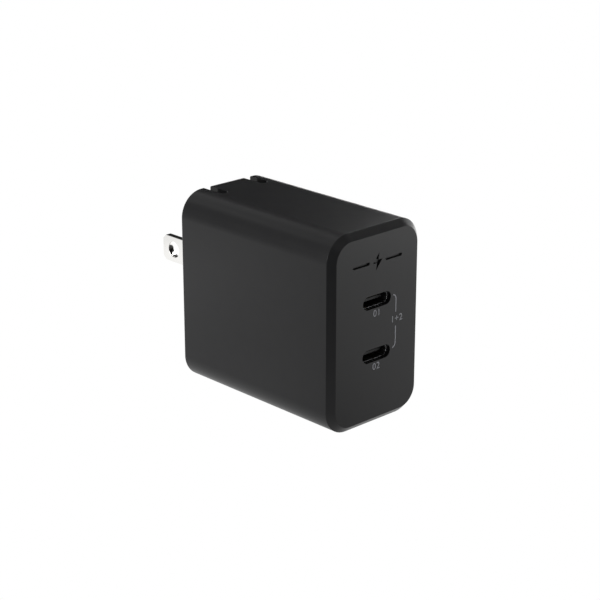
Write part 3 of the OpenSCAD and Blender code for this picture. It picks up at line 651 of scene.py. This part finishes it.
# %% [markdown]
# The housing is one deep moulded box, open towards the ports. It starts as a solid block with
# four large round edges, gets its small rear rounding, is hollowed to its wall thickness, and
# then takes the blocks, bosses and rails that hold what is inside. The slots for the blades
# come last, because they cut through all of that.

# %% Housing shell
body_low, body_high = box_mm("housing")
corner_radius = 6.2
rear_rounding = 0.4
seam_rounding = 0.06
wall = 2.0
past = 1.0

housing = rounded_block(body_low, body_high, corner_radius, 24)
bevel(housing, edges_at(housing, 1, body_high.y), rear_rounding, 5)
bevel(housing, edges_at(housing, 1, body_low.y), seam_rounding, 2)

inset = Vector((wall, 0, wall))
cavity_low = body_low + inset - Vector((0, past, 0))
cavity_high = body_high - inset - Vector((0, wall, 0))
housing = combine(housing, rounded_block(cavity_low, cavity_high, corner_radius - wall, 16))
print("wall, mm:", wall)

# %% Places of the blades and their pivot
blade_low, blade_high = box_mm("right_blade")
shaft_low, shaft_high = box_mm("pivot_shaft")
retainer_low, retainer_high = box_mm("shaft_retainer")
pivot = (shaft_low + shaft_high) / 2
blade_x = (blade_low.x + blade_high.x) / 2
blade_mid_z = (blade_low.z + blade_high.z) / 2
blade_width = blade_high.z - blade_low.z
slot_width = 2.3
slot_wall = 1.0
slot_end_gap = 0.275
slot_floor_gap = 0.375
slot_bottom = blade_low.z - slot_end_gap
slot_floor_y = pivot.y - (blade_mid_z - pivot.z) - blade_width / 2 - slot_floor_gap
print("pivot at y, z:", round(pivot.y, 3), round(pivot.z, 3), "slot floor y:", round(slot_floor_y, 3))

# %% Housing: bearing block, channels, bosses and rails
# Joined blocks reach into the wall behind them by this much, so that no gap is left.
bury = 0.5
bearing_below = 1.8
bearing_above = 1.0
bearing_low = slot_bottom - bearing_below
bearing_high = blade_high.z + bearing_above
bearing_half = 10.5
channel_gap = 0.1
lug_radius = 2.6
lug_thickness = 2.0
boss_end_y = retainer_low.y + lug_thickness
rear_wall_y = body_high.y - wall
screw_spacing = 15.0
screw_places = [(-screw_spacing / 2, retainer_low.z + lug_radius),
                (screw_spacing / 2, retainer_low.z + lug_radius),
                (0, retainer_high.z - lug_radius)]

bearing_block = block((-bearing_half, pivot.y, bearing_low), (bearing_half, rear_wall_y + bury, bearing_high))
housing = combine(housing, bearing_block, "UNION")
channel_half = slot_width / 2 + slot_wall
channels = [block((side * blade_x - channel_half, slot_floor_y - slot_wall, bearing_high + channel_gap),
                  (side * blade_x + channel_half, rear_wall_y + bury, body_high.z - wall + bury))
            for side in (-1, 1)]
housing = combine(housing, together(*channels), "UNION")
boss_middle = (boss_end_y + rear_wall_y + bury) / 2
bosses = [rod((x, boss_middle, z), 1, lug_radius, rear_wall_y + bury - boss_end_y) for x, z in screw_places]
housing = combine(housing, together(*bosses), "UNION")
print("bosses:", len(screw_places))

# %% Housing: rails for the main board
board_low, board_high = box_mm("main_board")
rail_thickness = 0.8
rail_height = 1.4
rail_inset = 2.0
board_clearance = 0.1
rails = []
for x in (board_low.x - board_clearance - rail_thickness, board_high.x + board_clearance):
    for low_z, high_z in ((wall - bury, wall + rail_height),
                          (body_high.z - wall - rail_height, body_high.z - wall + bury)):
        rails.append(block((x, board_low.y + rail_inset, low_z),
                           (x + rail_thickness, board_high.y - rail_inset, high_z)))
housing = combine(housing, together(*rails), "UNION")
print("rails:", len(rails))

# %% Housing: bores and slots
bearing_bore = 1.75
bore_room = 0.2
cam_bore = 2.1
cam_bore_length = 5.2
screw_bore = 0.8
screw_hole_depth = 3.5
bearing_length = shaft_high.x - shaft_low.x + bore_room
housing = combine(housing, rod((0, pivot.y, pivot.z), 0, bearing_bore, bearing_length))
housing = combine(housing, rod((0, pivot.y, pivot.z), 0, cam_bore, cam_bore_length))
hole_middle = boss_end_y + (screw_hole_depth - past) / 2
screw_holes = [rod((x, hole_middle, z), 1, screw_bore, screw_hole_depth + past, 24) for x, z in screw_places]
housing = combine(housing, together(*screw_holes))

slots = []
for side in (-1, 1):
    slot = block((side * blade_x - slot_width / 2, slot_floor_y, slot_bottom),
                 (side * blade_x + slot_width / 2, body_high.y + past, body_high.z + past))
    floor_edges = [e for e in edges_along(slot, 2) if e.verts[0].co.y < body_high.y]
    bevel(slot, floor_edges, slot_width / 2 - hair, 10)
    slots.append(slot)
housing = combine(housing, together(*slots))
print("slot bottom z:", round(slot_bottom, 3))

# %% [markdown]
# Moulded edges are never razor sharp. The mouths of the slots get a tiny rounding, which is
# what catches a thread of light around them. An edge belongs to a mouth if both its ends lie
# on the outer skin, between the slot's two walls, and the surface turns there.

# %% Housing: soften the slot mouths
mouth_rounding = 0.08
slot_room = 0.01
skin_room = 0.02


def on_skin(point):
    """True if a point lies on the flat top, the flat rear or the rounding between them."""
    over_top = body_high.z - point.z
    over_rear = body_high.y - point.y
    if over_top > rear_rounding or over_rear > rear_rounding:
        return abs(over_top) < hair or abs(over_rear) < hair
    reach = math.hypot(rear_rounding - over_top, rear_rounding - over_rear)
    return abs(reach - rear_rounding) < skin_room


def over_slot(point):
    """True if a point lies between a slot's walls, behind its floor."""
    across = abs(abs(point.x) - blade_x)
    return across < slot_width / 2 + slot_room and point.y > slot_floor_y - slot_room


def in_mouth(edge):
    """True if an edge is part of the rim of a slot."""
    return all(over_slot(v.co) and on_skin(v.co) for v in edge.verts) and turns_at(edge)


mouths = [e for e in housing.edges if in_mouth(e)]
bevel(housing, mouths, mouth_rounding, 3)
shell_piece = finish_piece(housing, "housing_shell", ["housing"])


def in_slot(middle):
    """True if a face lies inside a blade's slot, below the softened mouth."""
    below_skin = min(body_high.z - middle.z, body_high.y - middle.y)
    return over_slot(middle) and below_skin > mouth_rounding


# The slots' walls take the polished plastic, whose darker colour is painted shade.
polish_and_shade(shell_piece, in_slot)
print("mouth edges:", len(mouths))

# %% [markdown]
# The front cover is a shallow lid: a face with a flat 45 degree chamfer all round, and a
# skirt that slips into the housing. A bevel of one segment gives the flat chamfer, and a very
# small rounding on its crease with the face keeps that crease from looking cut with a knife.

# %% Front cover
cover_low, cover_high = box_mm("front_cover")
ink_room = 0.012
face_y = cover_low.y + ink_room
seam_y = body_low.y
land = 0.05
skirt_gap = 0.1
skirt_wall = 1.2
cover_thickness = 2.2

cover = rounded_block((cover_low.x, face_y, cover_low.z), (cover_high.x, seam_y, cover_high.z),
                      corner_radius, 24)
bevel(cover, edges_at(cover, 1, face_y), seam_y - face_y - land, 1)
print("chamfer, mm:", round(seam_y - face_y - land, 3))

# %% Front cover: skirt and cut-outs
skirt_edge = wall + skirt_gap
skirt_low = Vector((cover_low.x + skirt_edge, seam_y - bury, cover_low.z + skirt_edge))
skirt_high = Vector((cover_high.x - skirt_edge, cover_high.y, cover_high.z - skirt_edge))
cover = combine(cover, rounded_block(skirt_low, skirt_high, corner_radius - skirt_edge, 16), "UNION")
hollow_edge = Vector((skirt_wall, 0, skirt_wall))
hollow_low = Vector((skirt_low.x, cover_low.y + cover_thickness, skirt_low.z)) + hollow_edge
hollow_high = skirt_high - hollow_edge + Vector((0, past, 0))
hollow = rounded_block(hollow_low, hollow_high, corner_radius - skirt_edge - skirt_wall, 12)
cover = combine(cover, hollow)

port_clearance = 0.08
ports = {name: box_mm(name + "_port_shell") for name in ("upper", "lower")}


def stadium(low, high, segments=16):
    """A bar along y whose narrow sides are full rounds."""
    return rounded_block(low, high, (high.z - low.z) / 2 - hair, segments)


for shell_low, shell_high in ports.values():
    room = Vector((port_clearance, 0, port_clearance))
    low = Vector((shell_low.x, face_y - past, shell_low.z)) - room
    high = Vector((shell_high.x, skirt_high.y, shell_high.z)) + room
    cover = combine(cover, stadium(low, high))
print("port cut-outs:", len(ports))

# %% [markdown]
# Above the ports sits an engraved mark. It is a plain bolt between two bars, sunk into the
# face, with just enough rounding on its rim to show a lighter line against the dark floor.

# %% Front cover: engraved mark
mark_z = 39.1
mark_width = 15.6
mark_depth = 0.5
mark_stroke = 0.7
bolt_room = 5.0
bolt_outline = [(0.5, 2), (-1.5, -0.35), (-0.25, -0.35), (-0.5, -2), (1.5, 0.35), (0.25, 0.35)]


def bolt_cutter():
    """The bolt's outline as a face, pushed into the cover as far as the mark is deep."""
    bm = bmesh.new()
    corners = [bm.verts.new((x, face_y - past, mark_z + z)) for x, z in bolt_outline]
    face = bm.faces.new(corners)
    pushed = bmesh.ops.extrude_face_region(bm, geom=[face])
    moved = [v for v in pushed["geom"] if isinstance(v, bmesh.types.BMVert)]
    bmesh.ops.translate(bm, verts=moved, vec=(0, past + mark_depth, 0))
    bmesh.ops.recalc_face_normals(bm, faces=bm.faces)
    return bm


bar_length = (mark_width - bolt_room) / 2
bars = []
for side in (-1, 1):
    middle = side * (mark_width - bar_length) / 2
    bars.append(stadium(Vector((middle - bar_length / 2, face_y - past, mark_z - mark_stroke / 2)),
                        Vector((middle + bar_length / 2, face_y + mark_depth, mark_z + mark_stroke / 2)), 8))
cover = combine(cover, together(bolt_cutter(), *bars))
print("mark width, mm:", mark_width)

# %% Front cover: soften its edges
port_rounding = 0.05
mark_rounding = 0.04
crease_rounding = 0.05
mark_room = 3.0
mark_low_z = mark_z - mark_room
# Nothing outside this part of the face belongs to a cut-out or to the mark.
cuts_half_width = mark_width / 2 + 1
cuts_low_z, cuts_high_z = 10, 42


def cut_rims():
    """The edges of the holes in the face, which turn more sharply than the chamfer does."""
    return [e for e in edges_at(cover, 1, face_y) if turns_at(e, 60)]


bevel(cover, [e for e in cut_rims() if e.verts[0].co.z > mark_low_z], mark_rounding, 2)
bevel(cover, [e for e in cut_rims() if e.verts[0].co.z < mark_low_z], port_rounding, 3)
outer_rim = [e for e in edges_at(cover, 1, face_y)
             if max(abs(v.co.x) for v in e.verts) > cuts_half_width
             or not cuts_low_z < e.verts[0].co.z < cuts_high_z]
bevel(cover, outer_rim, crease_rounding, 2)
cover_piece = finish_piece(cover, "front_cover_face", ["front_cover"])

# %% Front cover: polish the cut-outs and darken them with painted shade
cut_room = 0.2
cut_start = 0.02
cut_end = 2.1


def in_cut(middle):
    """True if a face lies behind the cover's face, in a port's cut-out."""
    near_port = any(low.z - cut_room < middle.z < high.z + cut_room and abs(middle.x) < high.x + cut_room
                    for low, high in ports.values())
    return near_port and cut_start < middle.y - face_y < cut_end


polish_and_shade(cover_piece, in_cut)

# %% [markdown]
# The marks beside the ports are printed in grey ink: a number under each port, and a bracket
# that ties both to a sum. Ink has real thickness, about a hundredth of a millimetre, so each
# mark is a very thin solid on the face. Blender's own font gives the numbers.

# %% Printing ink
# Pad-printed grey ink, half matt, with the slight unevenness of a transferred film.
finishes["ink"] = solid("pad_printed_ink", "#999aa0", "#8f9096", 0.5, 0.1 * MM, 0.001 * MM)
ink_thickness = 0.008
ink_y = face_y - ink_thickness
# The height of a digit as a share of the font's size, and how far the digits stand apart.
digit_share = 0.7
digit_spacing = 1.1


def printed_text(words, x, z, height):
    """A thin solid of generic numbers on the face, centred on a place."""
    letters = bpy.data.curves.new("letters", "FONT")
    letters.body = words
    letters.size = height / digit_share
    letters.align_x = "CENTER"
    letters.align_y = "CENTER"
    letters.space_character = digit_spacing
    helper = bpy.data.objects.new("letters", letters)
    bpy.context.scene.collection.objects.link(helper)
    flat = bpy.data.meshes.new_from_object(helper)
    bpy.data.objects.remove(helper)
    bpy.data.curves.remove(letters)
    bm = bmesh.new()
    bm.from_mesh(flat)
    bpy.data.meshes.remove(flat)
    stand = Matrix.Translation((x, ink_y, z)) @ Matrix.Rotation(math.radians(90), 4, "X")
    bmesh.ops.transform(bm, matrix=stand, verts=bm.verts)
    thicken(bm)
    return bm


def thicken(bm):
    """Gives a flat shape on the face the ink's thickness."""
    bmesh.ops.remove_doubles(bm, verts=bm.verts, dist=0.0001)
    pushed = bmesh.ops.extrude_face_region(bm, geom=bm.faces[:])
    moved = [v for v in pushed["geom"] if isinstance(v, bmesh.types.BMVert)]
    bmesh.ops.translate(bm, verts=moved, vec=(0, ink_thickness, 0))
    bmesh.ops.recalc_face_normals(bm, faces=bm.faces)


def finish_ink(bm, name):
    """Scales an ink mark and fixes it to the casing."""
    bmesh.ops.transform(bm, matrix=Matrix.Scale(MM, 4), verts=bm.verts)
    mark = as_object(bm, name)
    mark.data.materials.append(finishes["ink"])
    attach(mark, "casing")
    print(name, "faces:", len(mark.data.polygons))


label_height = 1.6
label_drop = 2.9
port_z = {name: (low.z + high.z) / 2 for name, (low, high) in ports.items()}
sum_x = 6.5
sum_lift = 0.6
sum_z = (port_z["upper"] + port_z["lower"]) / 2 + sum_lift
finish_ink(printed_text("01", 0, port_z["upper"] - label_drop, label_height), "upper_port_number")
finish_ink(printed_text("02", 0, port_z["lower"] - label_drop, label_height), "lower_port_number")
finish_ink(printed_text("1+2", sum_x, sum_z, label_height), "shared_number")

# %% [markdown]
# Each half of the bracket is one stroke: a straight run beside the ports and a small turn
# towards one of them. A short edge across the stroke is extruded along that route and leaves a
# thin ribbon of faces, so the stroke keeps its width round the turn.

# %% Printed bracket
stroke = 0.27
bracket_x = 6.15
bracket_turn = 1.15
bracket_lift = 0.2
turn_angle = 80
turn_steps = 8
sum_gap = 1.7


def bracket_half(start_z, end_z):
    """A stroke up or down from start_z that turns in at end_z."""
    way = 1 if end_z > start_z else -1
    bm = bmesh.new()
    edge = [bm.verts.new((bracket_x + side * stroke / 2, ink_y, start_z)) for side in (-1, 1)]
    row = [bm.edges.new(edge)]
    pushed = bmesh.ops.extrude_edge_only(bm, edges=row)["geom"]
    moved = [v for v in pushed if isinstance(v, bmesh.types.BMVert)]
    row = [e for e in pushed if isinstance(e, bmesh.types.BMEdge) and set(e.verts) == set(moved)]
    bmesh.ops.translate(bm, verts=moved, vec=(0, 0, end_z - way * bracket_turn - start_z))
    bmesh.ops.spin(bm, geom=moved + row, cent=(bracket_x - bracket_turn, ink_y, end_z - way * bracket_turn),
                   axis=(0, -way, 0), dvec=(0, 0, 0), angle=math.radians(turn_angle), steps=turn_steps,
                   use_merge=False, use_duplicate=False)
    thicken(bm)
    return bm


finish_ink(bracket_half(sum_z + sum_gap, port_z["upper"] + bracket_lift), "bracket_upper")
finish_ink(bracket_half(sum_z - sum_gap, port_z["lower"] + bracket_lift), "bracket_lower")
print("bracket at x, mm:", bracket_x)

# %% [markdown]
# A blade is stamped from thick brass strip and plated. It is a bar with two cut corners at
# the tip, a hole near the tip, and a round tail that turns about the pivot. The tail is lower
# than the bar, so the bar's upper part is extruded from the half beyond the pivot.

# %% Blades
tip_cut = 1.0
hole_from_face = 11.9
hole_radius = 1.98
blade_rounding = 0.07
drive_square = 2.2
# Half the length of a cutter that goes right through a blade.
through = 2.0


def blade_piece(side):
    """The left (-1) or right (1) blade, open. It is made about x = 0 and then moved aside."""
    half_thickness = (blade_high.x - blade_low.x) / 2
    tail_radius = pivot.z - blade_low.z
    bm = block((-half_thickness, blade_low.y, blade_low.z),
               (half_thickness, blade_high.y, pivot.z + tail_radius))
    tail = [e for e in edges_along(bm, 0) if e.verts[0].co.y < pivot.y]
    bevel(bm, tail, tail_radius - hair, 16)
    bmesh.ops.bisect_plane(bm, geom=bm.verts[:] + bm.edges[:] + bm.faces[:], dist=0.0001,
                           plane_co=(0, pivot.y, 0), plane_no=(0, 1, 0))
    top = [f for f in bm.faces if f.normal.z > 0.99 and f.calc_center_median().y > pivot.y]
    pushed = bmesh.ops.extrude_face_region(bm, geom=top)
    moved = [v for v in pushed["geom"] if isinstance(v, bmesh.types.BMVert)]
    bmesh.ops.delete(bm, geom=top, context="FACES_ONLY")
    bmesh.ops.translate(bm, verts=moved, vec=(0, 0, blade_high.z - pivot.z - tail_radius))
    bmesh.ops.dissolve_limit(bm, angle_limit=math.radians(1), verts=bm.verts, edges=bm.edges)
    tip = [e for e in edges_along(bm, 0) if e.verts[0].co.y > blade_high.y - hair]
    bevel(bm, tip, tip_cut, 1)
    # The outside is rounded before any hole is cut, while its sides are still single faces.
    bevel(bm, [e for e in bm.edges if turns_at(e, 40)], blade_rounding, 3)
    hole_centre = (0, body_high.y + hole_from_face, blade_mid_z)
    bm = combine(bm, rod(hole_centre, 0, hole_radius, 2 * through))
    half = Vector((through, drive_square / 2, drive_square / 2))
    centre = Vector((0, pivot.y, pivot.z))
    bm = combine(bm, block(centre - half, centre + half))
    bevel(bm, [e for e in bm.edges if turns_at(e, 60)], blade_rounding, 3)
    bmesh.ops.translate(bm, verts=bm.verts, vec=(side * blade_x, 0, 0))
    print("blade volume, mm3:", round(bm.calc_volume(), 3))
    return bm


finish_piece(blade_piece(-1), "left_blade_plated", ["left_blade"], body="blades")
finish_piece(blade_piece(1), "right_blade_plated", ["right_blade"], body="blades")

# %% [markdown]
# A USB-C port is a drawn steel shell with a black plastic tongue in the middle, and the
# contacts lie on both faces of the tongue. The shell is a stadium with a smaller stadium cut
# out; its rim is rounded, because that rim is the one bright line in a dark opening.

# %% Ports
shell_thickness = 0.2
rim_rounding = 0.06
tongue_width = 6.69
tongue_corner = 0.3
tongue_rounding = 0.12
pad_height = 0.06

for name, (shell_low, shell_high) in ports.items():
    sheet = Vector((shell_thickness, 0, shell_thickness))
    reach = Vector((0, past, 0))
    shell = combine(stadium(shell_low, shell_high),
                    stadium(shell_low + sheet - reach, shell_high - sheet + reach))
    bevel(shell, edges_at(shell, 1, shell_low.y), rim_rounding, 3)
    finish_piece(shell, name + "_port_shell_drawn", [name + "_port_shell"])

    tongue_low, tongue_high = box_mm(name + "_port_tongue")
    pads_low, pads_high = box_mm(name + "_port_contacts")
    base_front = pads_high.y
    tongue = rounded_block(Vector((-tongue_width / 2, tongue_low.y, pads_low.z + pad_height)),
                           Vector((tongue_width / 2, base_front + bury, pads_high.z - pad_height)),
                           tongue_corner, 6)
    bevel(tongue, edges_at(tongue, 1, tongue_low.y), tongue_rounding, 3)
    base = stadium(Vector((tongue_low.x, base_front, tongue_low.z)), tongue_high)
    tongue = combine(tongue, base, "UNION")
    finish_piece(tongue, name + "_port_tongue_moulded", [name + "_port_tongue"])
